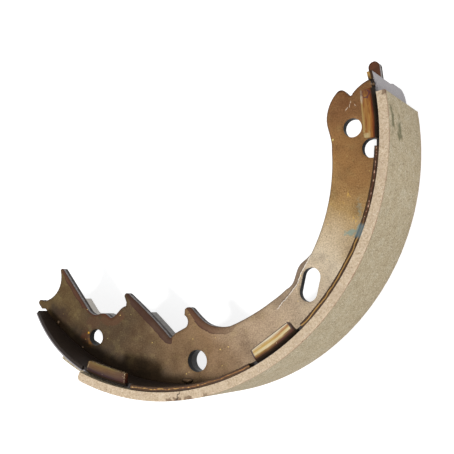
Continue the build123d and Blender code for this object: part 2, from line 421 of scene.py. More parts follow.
def specks_and_scuffs(m, film, gold):
    """Gold specks, gold scuffs beside the rim, dark specks and a few bright points."""
    film = m.paint(film, gold, (236, 204, 120))
    scuffs_at = m.vec("ADD", m.vec("MULTIPLY", m.where, (1, 0.35, 1)), (7, 0, 0))
    scuffs = m.ramp(m.noise(0.9, 3, 0.7, at=scuffs_at), 0.56, 0.66, 0, 0.75)
    scuffed = m.most(m.spot(SCUFF_UPPER, 3.2, 2.5, rough=1), m.spot(SCUFF_LOWER, 2.2, 2, rough=1))
    film = m.paint(film, m.times(scuffs, scuffed), (224, 180, 84))
    film = m.paint(film, m.times(m.specks(2.6, 0.12, 0.12), 0.6), (50, 36, 26))
    bright = m.most(m.spot(LARGE_SPECK, 0.4, 0.3, rough=0.3), m.spot(NEXT_SPECK, 0.3, 0.2, rough=0.2))
    for place in SMALL_SPECKS:
        bright = m.most(bright, m.spot(place, 0.18, 0.2))
    return m.paint(film, bright, (255, 240, 150))


def cut_edges(m):
    """Sheared and torn strips on the cut edges, with painted shade on the walls of the holes."""
    striations = m.noise(0.35, 2, 0.6, at=m.vec("MULTIPLY", m.where, (1, 1, 0.12)))
    torn = m.ramp(m.plus(m.z, m.uneven(3, 2, 0.4)), -0.3, 0.2)
    cut = m.mix(torn, srgb(54, 49, 46), srgb(158, 153, 152))
    cut = m.paint(cut, m.ramp(striations, 0.35, 0.65, 0, 0.5), (70, 64, 60))
    cut = m.paint(cut, m.ramp(m.z, 1.5, 2.0, 0, 0.8), (70, 48, 36))
    # Painted shade on the walls of the holes
    return m.paint(cut, m.attribute("bore"), (34, 33, 32))


def web_steel():
    """Steel with a brown-gold film, stains and specks, and bare cut edges."""
    m = Tree("web_steel")
    cloud = m.noise(10, 4, 0.62)
    grain = m.noise(0.75, 3, 0.75)
    gold = m.times(m.specks(1.7, 0.12, 0.16), m.ramp(m.noise(14, 2), 0.45, 0.6))
    film = web_film(m, cloud, grain)
    for mark in (sheared_edge, folded_lip, joint_darkening, heat_stains, blue_stains):
        film = mark(m, film)
    film = reddened_end(m, film, cloud, grain)
    film = specks_and_scuffs(m, film, gold)
    m.set(Base_Color=m.mix(m.attribute("wall"), film, cut_edges(m)))
    m.set(Metallic=m.ramp(gold, 0, 1, 0.15, 0.9), Specular_IOR_Level=0.14)
    m.set(Roughness=m.ramp(cloud, 0.3, 0.7, 0.46, 0.6))
    m.set(Normal=m.bump(m.math("MULTIPLY_ADD", grain, 0.5, m.times(cloud, 0.6)), 0.12))
    return m.mat


# Doubler's material

def doubler_steel():
    """Grey sheared steel with upright striations, paler behind the first horn as a painted highlight, with
    painted shade in the pivot hole.
    """
    m = Tree("doubler_steel")
    striations = m.noise(0.5, 3, 0.65, at=m.vec("MULTIPLY", m.where, (1, 1, 0.08)))
    colour = m.colours(striations, [(0.3, (94, 90, 86)), (0.5, (122, 118, 113)), (0.7, (146, 142, 137))])
    colour = m.paint(colour, m.ramp(m.noise(8, 3, 0.6), 0.5, 0.75, 0, 0.5), (92, 80, 66))
    colour = m.paint(colour, 0.3, (88, 84, 82))
    # Painted highlight: paler behind the first horn
    colour = m.paint(colour, m.ramp(m.x, -58, -66, 0, 0.85), (186, 180, 171))
    # Painted shade in the pivot hole
    bore = m.spot(PIVOT_BORE, 6.6, 0.3, stretch=(1, 1, 0.2))
    colour = m.paint(colour, m.times(bore, 0.85), (34, 33, 32))
    m.set(Base_Color=colour, Metallic=0.5, Roughness=0.42, Specular_IOR_Level=0.25)
    m.set(Normal=m.bump(striations, 0.12, m.soft_edges(0.3)))
    return m.mat


# Rim's material

def highlight_line(m):
    """Colour of the painted highlight line along the near edge: straw, redder past the middle tab, with
    painted glints in two places.
    """
    line = m.mix(m.ramp(m.angle, -70, -74, 0, 0.7), srgb(158, 122, 66), srgb(112, 66, 38))
    line = m.paint(line, m.ramp(m.angle, -96, -105, 0, 0.8), (170, 140, 88))
    glinting = m.most(m.band(m.angle, -29, -11, 1), m.ramp(m.angle, -72, -92, 0, 0.55))
    glint = m.mix(m.ramp(m.angle, -60, -74), srgb(214, 172, 146), srgb(206, 164, 92))
    return m.mix(glinting, line, m.mix(m.ramp(m.noise(1.4, 3), 0.5, 0.62), srgb(92, 52, 34), glint))


def near_edge(m, streaks):
    """Near edge of the rim: dark brown, darker still as painted shade, with a painted highlight line along
    its middle, painted glints and a blue stain.
    """
    edge = m.colours(streaks, [(0.3, (58, 36, 20)), (0.55, (98, 68, 36)), (0.8, (150, 116, 64))])
    # Painted shade: the edge's dark brown darkened further
    edge = m.paint(edge, 0.72, (28, 17, 13))
    wander = m.plus(m.radius, m.uneven(6, 2, 0.25))
    steady = m.times(m.band(m.angle, -57, -31, 1), 0.85)
    strength = m.most(steady, m.ramp(m.noise(2.5, 2), 0.4, 0.6, 0.5, 0.85))
    # Painted highlight line along the edge's middle, and at the shoe's upper end
    wear_and_glint = m.times(m.band(wander, 120.7, 121.15, 0.2), strength)
    wear_and_glint = m.times(wear_and_glint, m.ramp(m.angle, -122, -119))
    wear_and_glint = m.most(wear_and_glint, m.times(m.ramp(m.angle, 2.5, 4), m.ramp(wander, 121.2, 120.9)))
    edge = m.mix(wear_and_glint, edge, highlight_line(m))
    # Painted glints on the highlight line
    edge = m.paint(edge, m.times(m.specks(1.2, 0.10, 0.2), wear_and_glint), (240, 220, 170))
    return m.paint(edge, m.times(m.band(m.angle, -32.6, -29.6, 0.5), 0.8), (84, 100, 104))


def top_tab(m, across, streaks_at):
    """Straw to amber with rust, darkening to near black over the bend as painted shade, a cream corner, pale
    and brown ends and a purple crescent.
    """
    # The dark end of these stops, over the bend towards the rim, is painted shade
    tab = m.colours(across, [
        (0.00, (168, 144, 98)), (0.16, (164, 136, 82)), (0.26, (154, 114, 60)), (0.38, (146, 100, 46)),
        (0.52, (160, 118, 58)), (0.64, (150, 96, 38)), (0.74, (98, 38, 12)), (0.84, (44, 17, 8)),
        (1.00, (14, 10, 8))])
    cream = m.times(m.ramp(m.angle, -2.8, -1.4), m.ramp(across, 0.34, 0.16))
    tab = m.paint(tab, m.times(cream, 0.85), (212, 200, 176))
    rust = m.ramp(m.noise(1.3, 4, 0.7, at=streaks_at), 0.49, 0.58, 0, 0.7)
    tab = m.paint(tab, m.times(rust, m.ramp(across, 0.18, 0.3)), (112, 54, 16))
    tab = m.paint(tab, m.ramp(m.angle, -1.0, -0.2, 0, 0.6), (96, 54, 28))
    pale_end = m.ramp(m.plus(m.angle, m.uneven(2, 3, 0.9)), -8.6, -9.8, 0, 0.6)
    tab = m.paint(tab, m.times(pale_end, m.ramp(across, 0.6, 0.4)), (196, 180, 132))
    ring = m.vec("LENGTH", m.vec("SUBTRACT", m.where, TAB_RING))
    ring = m.band(m.plus(ring, m.uneven(2, 2, 0.5)), 1.5, 2.1, 0.25)
    crescent = m.times(ring, m.ramp(m.noise(1.8, 2), 0.42, 0.52, 0.1, 0.85))
    return m.paint(tab, crescent, (66, 32, 50))


def middle_tab(m, across):
    """A cream flat, partly a painted sheen, gold stripes and a paler stripe that is a painted highlight, then
    painted shade to near black over the bend, amber and red towards the shoe's upper end.
    """
    # The pale stripe at 0.5 to 0.56 is a painted highlight, and the dark end is painted shade
    tab = m.colours(across, [
        (0.00, (200, 186, 158)), (0.24, (204, 190, 160)), (0.35, (170, 130, 46)), (0.42, (176, 140, 58)),
        (0.50, (202, 184, 138)), (0.56, (194, 172, 124)), (0.62, (146, 110, 52)), (0.69, (122, 86, 40)),
        (0.76, (92, 58, 32)), (0.84, (60, 34, 22)), (0.92, (32, 20, 16)), (1.00, (14, 10, 9))])
    amber = m.times(m.ramp(m.angle, -65, -60), m.band(across, 0.3, 0.42, 0.04))
    tab = m.paint(tab, m.times(amber, 0.8), (146, 86, 34))
    red = m.times(m.ramp(m.angle, -66, -61), m.ramp(across, 0.58, 0.68))
    return m.paint(tab, m.times(red, 0.75), (76, 36, 32))


def lower_tab(m, across):
    """Dark olive to red-brown, darkening to near black over the bend as painted shade, with a purple stain
    and a browner right end.
    """
    # The dark end of these stops, over the bend towards the rim, is painted shade
    tab = m.colours(across, [
        (0.00, (132, 116, 62)), (0.15, (106, 86, 36)), (0.32, (96, 66, 22)), (0.46, (86, 56, 16)),
        (0.58, (66, 40, 16)), (0.70, (42, 18, 20)), (0.86, (38, 16, 14)), (1.00, (20, 10, 6))])
    purple = m.spot(TAB_PURPLE, 2.2, 1.6, stretch=(0.3, 1, 0.2), rough=1)
    tab = m.paint(tab, m.times(purple, 0.25), (44, 16, 26))
    return m.paint(tab, m.ramp(m.angle, -112, -108, 0, 0.7), (62, 26, 12))


def tab_border(m):
    """Distance to the nearer of a tab's free edge and sides."""
    lower, middle, top = TABS
    centre = m.math("MULTIPLY_ADD", m.math("GREATER_THAN", m.angle, -90), middle - lower, lower)
    centre = m.math("MULTIPLY_ADD", m.math("GREATER_THAN", m.angle, -30), top - middle, centre)
    aside = m.math("ABSOLUTE", m.minus(m.angle, centre))
    reach = m.times(m.radius, m.math("COSINE", m.times(aside, math.radians(1))))
    to_side = m.times(m.minus(TAB_HALF, aside), TAB_MM_PER_DEGREE)
    return m.math("MINIMUM", m.minus(reach, TAB_FREE_EDGE), to_side)


def at_middle_tab(m):
    """Mask of the angles around the middle tab."""
    return m.band(m.angle, -90, -40, 5)


def tabs(m, streaks, streaks_at):
    """Tabs in tempering colours from the flat over the bend to the rim, with painted shade over the bends and
    under the free edges, flecks, painted glints along the lower tab's borders and a painted shadow outline
    round the middle tab.
    """
    arc = m.minus(m.minus(m.radius, m.z), TAB_ARC_START)
    arc = m.plus(arc, m.ramp(streaks, 0.3, 0.7, -0.35, 0.35))
    across = m.math("DIVIDE", arc, TAB_ARC, clamp=True)
    at_lower = m.ramp(m.angle, -106, -107)
    tab = m.mix(m.ramp(m.angle, -50, -51), top_tab(m, across, streaks_at), middle_tab(m, across))
    tab = m.mix(at_lower, tab, lower_tab(m, across))
    # Painted shade under the tabs' free edges
    below = m.ramp(m.z, 25.2, 24.2, 0, m.ramp(m.radius, 114.6, 114.1))
    tab = m.paint(tab, below, (38, 26, 18))
    border = tab_border(m)
    flecks = m.times(m.specks(1.3, 0.16, 0.16), m.ramp(m.noise(8, 2), 0.42, 0.56))
    # Painted glints along the lower tab's borders
    wear_and_glint = m.times(m.ramp(m.noise(1.1, 3), 0.44, 0.6, 0, 0.85), m.band(border, 0.1, 0.4, 0.2))
    wear_and_glint = m.times(wear_and_glint, m.ramp(m.angle, -109.4, -108.4, 0.4, 1.0))
    tab = m.paint(tab, m.most(flecks, m.times(wear_and_glint, at_lower)), (232, 210, 166))
    # Painted shadow: dark outline round the middle tab
    return m.paint(tab, m.times(m.ramp(border, 0.9, 0.4), at_middle_tab(m)), (64, 36, 24))


def rim_steel():
    """Dark steel inside, near black as painted shade, grey-lilac outside, brown on the near edge with a
    painted highlight line, and the tabs in tempering colours with painted light and shade.
    """
    m = Tree("rim_steel")
    streaks_at = m.join(m.times(m.angle, 0.25), m.times(m.radius, 1.4), m.times(m.z, 1.4))
    streaks = m.noise(1.0, 3, 0.6, at=streaks_at)
    grain = m.noise(0.6, 3, 0.6)
    # Inside: dark steel, near black as painted shade
    inside = m.mix(m.ramp(grain, 0.35, 0.7), srgb(26, 19, 15), srgb(48, 36, 27))
    outside = m.mix(m.ramp(grain, 0.35, 0.65), srgb(146, 141, 143), srgb(166, 161, 162))
    colour = m.mix(m.ramp(m.radius, 121.4, 121.9), inside, outside)
    edge = m.ramp(m.z, 23.9, 24.6)
    colour = m.mix(edge, colour, near_edge(m, streaks))
    at_tab = m.times(m.ramp(m.z, 18.0, 19.5), m.ramp(m.radius, 119.78, 119.7))
    m.set(Base_Color=m.mix(at_tab, colour, tabs(m, streaks, streaks_at)))
    m.set(Metallic=m.times(m.minus(m.most(at_tab, edge), at_tab), 0.45), Specular_IOR_Level=0.2)
    glossy = m.times(m.times(at_middle_tab(m), at_tab), 0.12)
    m.set(Roughness=m.minus(m.ramp(streaks, 0.3, 0.7, 0.46, 0.56), glossy))
    height = m.math("MULTIPLY_ADD", streaks, 0.6, m.times(grain, 0.3))
    m.set(Normal=m.bump(height, 0.08, m.soft_edges(0.5)))
    return m.mat


# Lining's material

def lining_side(m, grain, blotch):
    """Warm granular side faces with pale and dark specks."""
    side = m.colours(grain, [(0.28, (154, 130, 102)), (0.5, (203, 181, 152)), (0.72, (228, 211, 187))])
    side = m.paint(side, m.ramp(blotch, 0.4, 0.7, 0, 0.35), (182, 160, 136))
    side = m.paint(side, m.specks(0.9, 0.15, 0.26), (238, 226, 208))
    return m.paint(side, m.times(m.specks(1.3, 0.10, 0.2), 0.7), (112, 92, 74))


def lining_face(m, grain, blotch):
    """Grey-olive working face, ground around the drum's axis, with grains, specks and fibres."""
    ground_at = m.join(m.times(m.angle, 0.5), m.times(m.z, 1.2), 0.0)
    fibres_at = m.join(m.times(m.angle, 0.9), m.times(m.z, 0.5), 3.0)
    face = m.colours(blotch, [(0.3, (174, 158, 128)), (0.5, (184, 169, 140)), (0.7, (192, 180, 154))])
    face = m.paint(face, m.ramp(m.noise(1.3, 3, 0.6, at=ground_at), 0.4, 0.7, 0, 0.12), (150, 134, 106))
    face = m.paint(face, m.times(m.band(m.angle, -62, -24, 9), 0.16), (122, 112, 86))
    face = m.paint(face, m.ramp(grain, 0.5, 0.64, 0, 0.8), (122, 108, 84))
    face = m.paint(face, m.ramp(grain, 0.46, 0.34, 0, 0.7), (220, 208, 184))
    face = m.paint(face, m.specks(1.0, 0.26, 0.24), (88, 76, 58))
    face = m.paint(face, m.specks(1.4, 0.16, 0.24), (216, 208, 188))
    face = m.paint(face, m.times(m.specks(2.4, 0.14, 0.15), 0.8), (66, 56, 46))
    fibres = m.ramp(m.noise(0.55, 2, 0.7, at=fibres_at), 0.68, 0.74, 0, 0.7)
    return m.paint(face, fibres, (74, 62, 46))


def face_border(m):
    """Mask of the uneven pinkish border between the working face and the side faces."""
    border = m.band(m.math("ABSOLUTE", m.z), 25.0, 25.75, 0.3)
    border = m.times(border, m.ramp(m.radius, 126.0, 126.6))
    return m.times(border, m.ramp(m.noise(3, 3), 0.35, 0.6, 0.15, 0.7))


def side_crack(m):
    """Mask of the crack through the near side face."""
    slant = m.times(m.minus(m.radius, 122.5), 0.32)
    away = m.plus(m.plus(m.angle, slant), m.ramp(m.noise(1.6, 3), 0.3, 0.7, 90.8, 91.5))
    return m.times(m.ramp(m.math("ABSOLUTE", away), 0.22, 0.1), m.ramp(m.z, 24.4, 25.2))


def smudge_streak(m, place, stretch, size):
    """Mask of one faint formless streak on the unrolled working face."""
    unrolled = m.join(m.times(m.angle, 2.2), m.z, 0.0)
    away = m.vec("LENGTH", m.vec("MULTIPLY", m.vec("SUBTRACT", unrolled, place), stretch))
    away = m.plus(away, m.uneven(3.2, 3, 1.6, 0.7))
    return m.ramp(away, size + 1.4, size - 0.6)


def smudge(m):
    """Mask of the smudge on the working face: two streaks."""
    upper = smudge_streak(m, (-13.0, 19.5, 0), (0.4, 1.0, 1), 1.6)
    lower = smudge_streak(m, (-17.0, 9.5, 0), (0.55, 0.8, 1), 2.2)
    return m.times(m.most(upper, lower), m.ramp(m.radius, 126.2, 126.8))


def friction_lining():
    """Pressed friction material: side faces, working face, broken places, a crack and a smudge."""
    m = Tree("friction_lining")
    grain = m.noise(0.8, 4, 0.75)
    blotch = m.noise(6, 4, 0.6)
    crack = side_crack(m)
    at_side = m.ramp(m.math("ABSOLUTE", m.z), 25.55, 25.9)
    colour = m.mix(at_side, lining_face(m, grain, blotch), lining_side(m, grain, blotch))
    colour = m.paint(colour, face_border(m), (146, 100, 82))
    broken = m.plus(m.attribute("broken"), m.ramp(m.noise(1.6, 3, 0.6), 0.3, 0.7, -0.9, 0.35))
    colour = m.paint(colour, m.ramp(broken, 0.25, 0.6, 0, 0.75), (112, 88, 66))
    colour = m.paint(colour, m.times(crack, 0.85), (66, 50, 40))
    colour = m.paint(colour, m.times(smudge(m), 0.75), (88, 88, 58))
    m.set(Base_Color=colour, Roughness=0.86, Specular_IOR_Level=0.25)
    solid = m.minus(1.0, m.specks(1.1, 0.35, 0.3))
    height = m.math("MULTIPLY_ADD", grain, 0.8, m.times(solid, 0.5))
    m.set(Normal=m.bump(m.minus(height, m.times(crack, 1.5)), 0.28))
    return m.mat


# Weld spots' material

def weld_metal():
    """Scale of a small weld spot; beside the pivot hole it is darker, with painted shade low down and a
    painted highlight on its paler top.
    """
    m = Tree("weld_metal")
    grain = m.noise(0.6, 3, 0.6)
    colour = m.colours(grain, [(0.35, (52, 36, 26)), (0.55, (88, 66, 44)), (0.75, (160, 132, 96))])
    # Beside the pivot hole: painted shade low on the spot, painted light on its top
    dark = m.mix(m.ramp(m.z, 2.4, 2.9), srgb(34, 24, 17), srgb(92, 68, 42))
    m.set(Base_Color=m.mix(m.spot(PIVOT_SPOT, 6, 0.5), colour, dark))
    m.set(Metallic=0.5, Roughness=0.32, Specular_IOR_Level=0.4, Normal=m.bump(grain, 0.04))
    return m.mat


# Plates: a flat mesh twice, closed by walls

def new_object(name, mesh):
    o = bpy.data.objects.new(name, mesh)
    bpy.context.collection.objects.link(o)
    return o


def borders(faces):
    """Directed border edges of a flat mesh."""
    edges = set()
    for f in faces:
        edges.update(zip(f, f[1:] + f[:1]))
    return [(a, b) for a, b in sorted(edges) if (b, a) not in edges]


def plate(name, count, faces, levels, place, marks):
    """Closed plate over a flat mesh of counter-clockwise faces.

    place(point, level) gives the point's position, for a level from 0, the back, to 1, the front, and
    marks(point, level) its attribute values."""
    border_edges = borders(faces)
    index = {}
    points = []
    values = []

    def vertex(i, level):
        if (i, level) not in index:
            index[i, level] = len(points)
            points.append([c * MM for c in place(i, level)])
            values.append(marks(i, level))
        return index[i, level]

    for i in range(count):
        vertex(i, 1.0)
        vertex(i, 0.0)
    polygons = [[vertex(i, 1.0) for i in f] for f in faces]
    polygons += [[vertex(i, 0.0) for i in reversed(f)] for f in faces]
    rows = [0.0, *levels, 1.0]
    for a, b in border_edges:
        for low, high in zip(rows, rows[1:]):
            polygons.append([vertex(a, low), vertex(b, low), vertex(b, high), vertex(a, high)])
    me = bpy.data.meshes.new(name)
    me.from_pydata(points, [], polygons)
    for key in values[0]:
        layer = me.attributes.new(key, "FLOAT", "POINT")
        layer.data.foreach_set("value", [v[key] for v in values])
    me.polygons.foreach_set("use_smooth", [True] * len(polygons))
    me.update()
    me.set_sharp_from_angle(angle=math.radians(50))
    return new_object(name, me)


# Web: the CAD plate with a fine mesh, rolled edges, torn walls and the folded lip beside the slot

# Spacing of the mesh's points, and levels of the walls' rows between the back, 0, and the front, 1
WEB_SPACING = 0.95
WEB_LEVELS = [0.06, 0.3, 0.55, 0.8]

# Rolled edges: reach and depth at the outline, up to the radius where it meets the rim, and at the holes
EDGE_ROLL = 1.5
EDGE_DROP = 0.42
RIM_JOINT = 119.0
HOLE_ROLL = 0.8
HOLE_DROP = 0.25

# Red-brown band: its widths, each up to an x, the way its edges face and the radius where it ends
BAND_WIDTHS = [(-72, 2.2), (-47, 1.0), (-20, 4.0), (math.inf, 3.6)]
BAND_FACES = Vector((0.78, 0.62))
BAND_OUTER = 114

# Crest of the folded lip, as angles and radii, and the distance past it that stands for no lip
LIP_LINE = [(-43.4, 94.6), (-47.0, 95.2), (-50.1, 95.9), (-53.1, 97.9), (-56.6, 98.6), (-60.7, 99.2),
            (-63.7, 100.4)]
NO_LIP = -9.0


def face_loops(node, height):
    """Closed loops of points, in millimetres, around the flat faces of a CAD node at one height."""
    me = node.data
    edges = set()
    for p in me.polygons:
        corners = [me.vertices[i].co for i in p.vertices]
        if all(abs(c.z / MM - height) < 1e-3 for c in corners):
            flat = [(round(c.x / MM, 4), round(c.y / MM, 4)) for c in corners]
            edges.update(zip(flat, flat[1:] + flat[:1]))
    following = {a: b for a, b in edges if (b, a) not in edges}
    loops = []
    while following:
        loop = [min(following)]
        while loop[-1] in following:
            loop.append(following.pop(loop[-1]))
        loops.append(loop[:-1])
    return loops


def subdivided(loop):
    """A loop with its points about one spacing apart."""
    points = []
    for a, b in zip(loop, loop[1:] + loop[:1]):
        parts = max(1, round(math.dist(a, b) / WEB_SPACING))
        for k in range(parts):
            points.append((a[0] + (b[0] - a[0]) * k / parts, a[1] + (b[1] - a[1]) * k / parts))
    return points


def width_of(points):
    xs = [p[0] for p in points]
    return max(xs) - min(xs)


def search_tree(points):
    """Tree that finds the nearest of flat points."""
    tree = KDTree(len(points))
    for k, p in enumerate(points):
        tree.insert((*p, 0), k)
    tree.balance()
    return tree


web_points = [v.co / MM for v in nodes["web"].data.vertices]
web_shape = BVHTree.FromPolygons(web_points, [list(p.vertices) for p in nodes["web"].data.polygons])


def on_web(x, y):
    """Whether a flat point lies on the web."""
    hit = web_shape.ray_cast(Vector((x, y, web_top + 1)), Vector((0, 0, -1)), 5)
    return hit[0] is not None


class WebSheet:
    """Flat triangle mesh of the web's front face, with distances to its outline and holes."""

    def __init__(self):
        loops = [subdivided(loop) for loop in face_loops(nodes["web"], web_top)]
        self.outline = max(loops, key=width_of)
        self.to_outline = search_tree(self.outline)
        self.to_holes = search_tree([p for loop in loops if loop is not self.outline for p in loop])
        points = []
        edges = []
        for loop in loops:
            start = len(points)
            points += loop
            edges += [(start + k, start + (k + 1) % len(loop)) for k in range(len(loop))]
        points += self.grid()
        self.points, _, cut, _, _, _ = delaunay_2d_cdt([Vector(p) for p in points], edges, [], 0, 1e-6)
        self.faces = [list(f) for f in cut if on_web(*self.middle(f))]

    def grid(self):
        """Points of a staggered grid on the web, not too near its borders."""
        xs = [p[0] for p in self.outline]
        ys = [p[1] for p in self.outline]
        points = []
        for j in range(int((max(ys) - min(ys)) / WEB_SPACING)):
            y = min(ys) + (j + 0.5) * WEB_SPACING
            for i in range(int((max(xs) - min(xs)) / WEB_SPACING)):
                x = min(xs) + (i + 0.25 + 0.5 * (j % 2)) * WEB_SPACING
                if on_web(x, y) and min(self.edge(x, y)[2], self.hole(x, y)) > 0.6 * WEB_SPACING:
                    points.append((x, y))
        return points

    def middle(self, face):
        return sum((self.points[i] for i in face), Vector((0, 0))) / 3

    def edge(self, x, y):
        """Nearest point of the outline: its place, number and distance."""
        return self.to_outline.find((x, y, 0))

    def hole(self, x, y):
        """Distance to the nearest hole's edge."""
        return self.to_holes.find((x, y, 0))[2]


def band_width(outline, k):
    """Width of the red-brown band at a point of the outline: none where the edge faces the tail."""
    before = Vector(outline[k - 2])
    after = Vector(outline[(k + 2) % len(outline)])
    outward = Vector((after.y - before.y, before.x - after.x)).normalized()
    widest = next(width for limit, width in BAND_WIDTHS if outline[k][0] < limit)
    seen = step(outward.dot(BAND_FACES), 0.3, 0.6) * step(angle_of(outline[k]), -42, -48)
    return widest * seen if math.hypot(*outline[k]) < BAND_OUTER else 0.0


def lip_radius(angle):
    """Radius of the folded lip's crest at an angle, or nothing past its ends."""
    for (a, r), (b, s) in zip(LIP_LINE, LIP_LINE[1:]):
        if b <= angle <= a:
            crest = r + (s - r) * (a - angle) / (a - b)
            return crest + 0.35 * wobble(angle * 1.7) + 0.2 * wobble(angle * 5.1)


def lip_fold(p):
    """Distance past the lip's crest, the fold's share and its drop of the face at a point."""
    angle = angle_of(p)
    crest = lip_radius(angle)
    if crest is None:
        return NO_LIP, 0.0, 0.0
    first = LIP_LINE[0][0]
    last = LIP_LINE[-1][0]
    fold = step(angle, last, last + 4) * step(angle, first, first - 3)
    past = crest - p.length
    if past > 0:
        return past, fold, fold * 0.75 * min(1.0, past / 1.1)
    return past, fold, -fold * 0.16 * max(0.0, 1 + past)


def rolled(sheet, p):
    """Drop of the front face at a point, and the values that the material reads there."""
    border, k, edge = sheet.edge(p.x, p.y)
    hole = sheet.hole(p.x, p.y)
    at_rim = border.length > RIM_JOINT
    drop = 0.0 if at_rim else EDGE_DROP * max(0.0, 1 - edge / EDGE_ROLL) ** 2
    drop = max(drop, HOLE_DROP * max(0.0, 1 - hole / HOLE_ROLL) ** 2)
    past, fold, fold_drop = lip_fold(p)
    drop += fold_drop + 0.03 * wobble(p.x * 0.35, p.y * 0.35)
    band = band_width(sheet.outline, k)
    read = {"edge": edge, "band": band, "lip": past, "fold": fold, "bore": float(hole < 0.01)}
    return max(drop, -0.2), read


def make_web():
    sheet = WebSheet()
    facts = [rolled(sheet, p) for p in sheet.points]

    def place(i, level):
        p = sheet.points[i]
        front = web_top - facts[i][0]
        below = min(web_top * (2 * level - 1), front - 0.02)
        return (p.x, p.y, front if level == 1.0 else below)

    def marks(i, level):
        return {**facts[i][1], "wall": float(0.0 < level < 1.0)}

    return plate("web_plate", len(sheet.points), sheet.faces, WEB_LEVELS, place, marks)


# Lining: a fine grid around the drum's axis, with worn corners and broken places

# Levels of the side walls' rows, degrees between the grid's columns and radius of the last end's corner
LINING_LEVELS = [0.25, 0.5, 0.68, 0.8, 0.88, 0.94]
LINING_PITCH = 0.42
LAST_CORNER = 2.5

# Broken places on the near corner: angle, half the width in degrees, and depth
CHIPS = [(-0.9, 1.1, 1.0), (-84.8, 0.9, 0.9), (-89.2, 1.5, 1.3), (-92.2, 1.3, 1.5), (-94.6, 1.2, 1.0),
         (-58.0, 0.7, 0.6), (-40.2, 0.6, 0.5), (-112.0, 0.8, 0.6)]


def lining_heights():
    """Heights of the grid's rows: fine beside both side faces, and one at each side of the tongue."""
    fine = [round(lining_top - s, 3) for s in (0.0, 0.25, 0.55, 1.0, 1.6, 2.4)]
    reach = lining_top - 3.2
    spaces = 42
    even = [round(-reach + k * 2 * reach / spaces, 3) for k in range(spaces + 1)]
    return sorted({*fine, *[-h for h in fine], *even, tongue, -tongue})


def lining_angles():
    """Angles of the grid's columns, fine beside the first end, and how many come before the tongue."""
    angles = [first_end - math.degrees(s / drum_radius) for s in (0.0, 0.3, 0.7, 1.2, 1.8)]
    while angles[-1] - LINING_PITCH > shoulder + 0.2:
        angles.append(angles[-1] - LINING_PITCH)
    angles.append(shoulder)
    before_tongue = len(angles)
    while angles[-1] - LINING_PITCH > last_end + 0.1:
        angles.append(angles[-1] - LINING_PITCH)
    angles.append(last_end)
    return angles, before_tongue


def lining_grid():
    """Points, as angles and heights, and faces of the grid, which narrows to the tongue past the shoulder."""
    heights = lining_heights()
    angles, before_tongue = lining_angles()
    rows = len(heights)
    faces = []
    for i in range(len(angles) - 1):
        for j in range(rows - 1):
            in_tongue = abs(heights[j] + heights[j + 1]) / 2 < tongue
            if i < before_tongue - 1 or in_tongue:
                a = i * rows + j
                faces.append([a, a + rows, a + rows + 1, a + 1])
    used = sorted({k for f in faces for k in f})
    number = {k: n for n, k in enumerate(used)}
    faces = [[number[k] for k in f] for f in faces]
    return [(angles[k // rows], heights[k % rows]) for k in used], faces


def wear(angle, near):
    """Radius of the corner's rounding by wear, on the near or the far edge."""
    slow = wobble(angle * 0.7, 3.0 if near else 9.0)
    quick = wobble(angle * 4, 5.0 if near else 1.0)
    r = 0.48 + 0.3 * slow + 0.15 * quick
    for place, half, deep in CHIPS if near else []:
        reach = 1 - abs(angle - place + 0.3 * wobble(angle * 3, 2)) / half
        if reach > 0:
            r += deep * min(1.0, 1.6 * reach) * (0.85 + 0.3 * wobble(angle * 9, 4))
    return max(0.2, r)


def corner(e, f, r):
    """Moves a point near a corner onto a rounded one: e and f are its distances to the two faces."""
    if e < r and f <= 1e-6:
        turn = math.radians(45 + 45 * e / r)
    elif f < r and e <= 1e-6:
        turn = math.radians(45 - 45 * f / r)
    else:
        return e, f
    return r - r * math.cos(turn), r - r * math.sin(turn)


def last_corner(angle, level):
    """How far the rounded last end beside the tongue lies below the working face."""
    left = max(0.0, math.radians(angle - shoulder) * drum_radius)
    if left >= LAST_CORNER:
        return 0.0
    sunk = LAST_CORNER - math.sqrt(LAST_CORNER ** 2 - (LAST_CORNER - left) ** 2)
    return sunk * level


def lining_point(angle, z, level):
    """Place of a grid point, for a level from 0, the back, to 1, the working face."""
    in_tongue = angle < shoulder - 1e-6
    deep = (1 - level) * lining_depth
    limit = tongue if in_tongue else lining_top
    aside = limit - abs(z)
    below = deep
    if not in_tongue:
        aside, below = corner(aside, below, wear(angle, z > 0))
    z = math.copysign(limit - aside, z)
    along = math.radians(first_end - angle) * drum_radius
    along, sunk = corner(along, deep, 0.5 + 0.25 * wobble(z * 0.3, 8))
    below = max(below, sunk)
    if along > 0:
        angle = min(angle, first_end - math.degrees(along / drum_radius))
    if not in_tongue and z > tongue:
        below = max(below, last_corner(angle, level))
    pitted = 0.04 * (1 + wobble(angle * 2, z * 0.4)) if level == 1.0 else 0.0
    return polar(angle, drum_radius - min(below, lining_depth * 0.98) - pitted, z)


def broken_share(angle, z, level):
    """How far the near corner is broken away at a grid point, from 0 to 1."""
    wear_and_glint = wear(angle, True)
    at_corner = lining_top - z < wear_and_glint + 0.2 and (1 - level) * lining_depth < 2.2
    return step(wear_and_glint - 0.75, 0, 0.5) if at_corner else 0.0


def make_lining():
    grid, faces = lining_grid()

    def place(i, level):
        return lining_point(*grid[i], level)

    def marks(i, level):
        return {"broken": broken_share(*grid[i], level)}

    return plate("lining_pad", len(grid), faces, LINING_LEVELS, place, marks)


